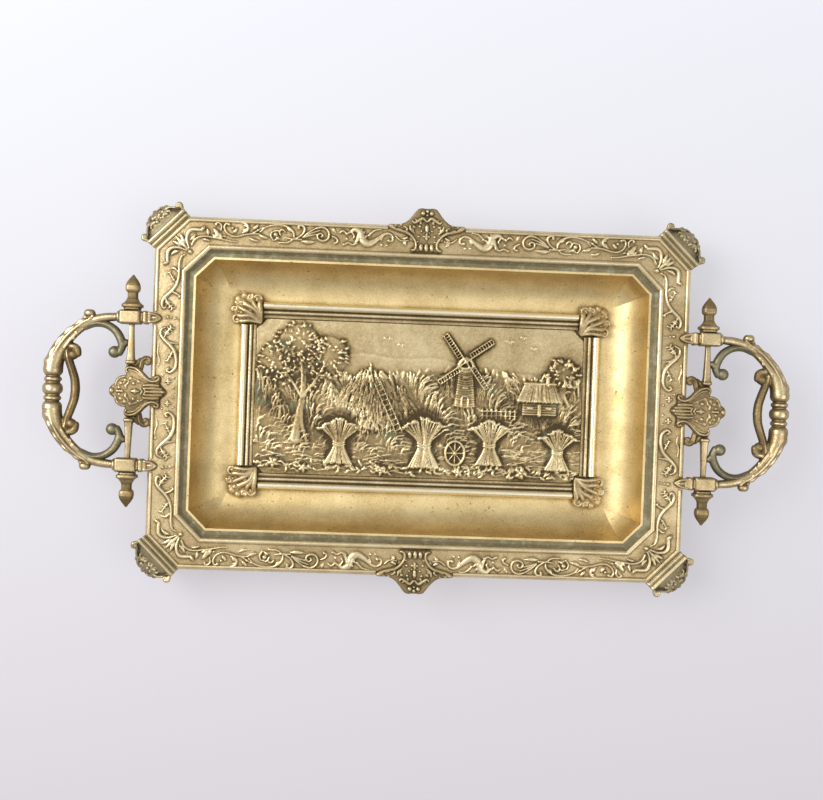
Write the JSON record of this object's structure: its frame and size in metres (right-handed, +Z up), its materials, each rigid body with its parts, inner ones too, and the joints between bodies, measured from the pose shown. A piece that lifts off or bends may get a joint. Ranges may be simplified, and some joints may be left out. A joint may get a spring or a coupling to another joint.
{
  "type": "footed tray",
  "caption": "Rectangular cast brass tray with cut corners on splayed feet, a coved basin with a framed relief panel, and scrolled handles on the short sides.",
  "frame": {"origin": "on the table, under the centre of the tray", "axes": "+X towards the right handle along the tray's length, +Y to the back, +Z up"},
  "size_m": [0.4808, 0.2482, 0.0452],
  "materials": {
    "rim_brass": "aged cast brass, worn bright on the high points, dark brown patina in the ground of the ornament",
    "basin_brass": "satin brass, warm and slightly mottled, with a grey-green bloom near the lip",
    "panel_brass": "aged cast brass relief, worn highlights over a dark brown patina",
    "panel_frame_brass": "aged cast brass, bright on the rounded bars and the leaf ribs",
    "handle_brass": "warm brown brass, polished by hands on the outside",
    "handle_fitting_brass": "aged cast brass with dark patina in the carving",
    "foot_brass": "aged cast brass with dark patina in the carving",
    "screw_brass": "turned brass"
  },
  "bodies": {
    "root": {"basin": "basin_brass", "basin_screws": "screw_brass", "cartouche_left": "handle_fitting_brass", "cartouche_right": "handle_fitting_brass", "cartouche_screws": "screw_brass", "crest_back": "rim_brass", "crest_front": "rim_brass", "crest_screws": "screw_brass", "finial_back_left": "handle_fitting_brass", "finial_back_right": "handle_fitting_brass", "finial_front_left": "handle_fitting_brass", "finial_front_right": "handle_fitting_brass", "foot_back_left": "foot_brass", "foot_back_right": "foot_brass", "foot_front_left": "foot_brass", "foot_front_right": "foot_brass", "foot_screws": "screw_brass", "handle_bar_left": "handle_fitting_brass", "handle_bar_right": "handle_fitting_brass", "handle_grip_left": "handle_brass", "handle_grip_right": "handle_brass", "handle_screws": "screw_brass", "panel_corner_back_left": "panel_frame_brass", "panel_corner_back_right": "panel_frame_brass", "panel_corner_front_left": "panel_frame_brass", "panel_corner_front_right": "panel_frame_brass", "panel_moulding_back": "panel_frame_brass", "panel_moulding_front": "panel_frame_brass", "panel_moulding_left": "panel_frame_brass", "panel_moulding_right": "panel_frame_brass", "panel_screws": "screw_brass", "relief_panel": "panel_brass", "rim_frame": "rim_brass"}
  },
  "joints": []
}
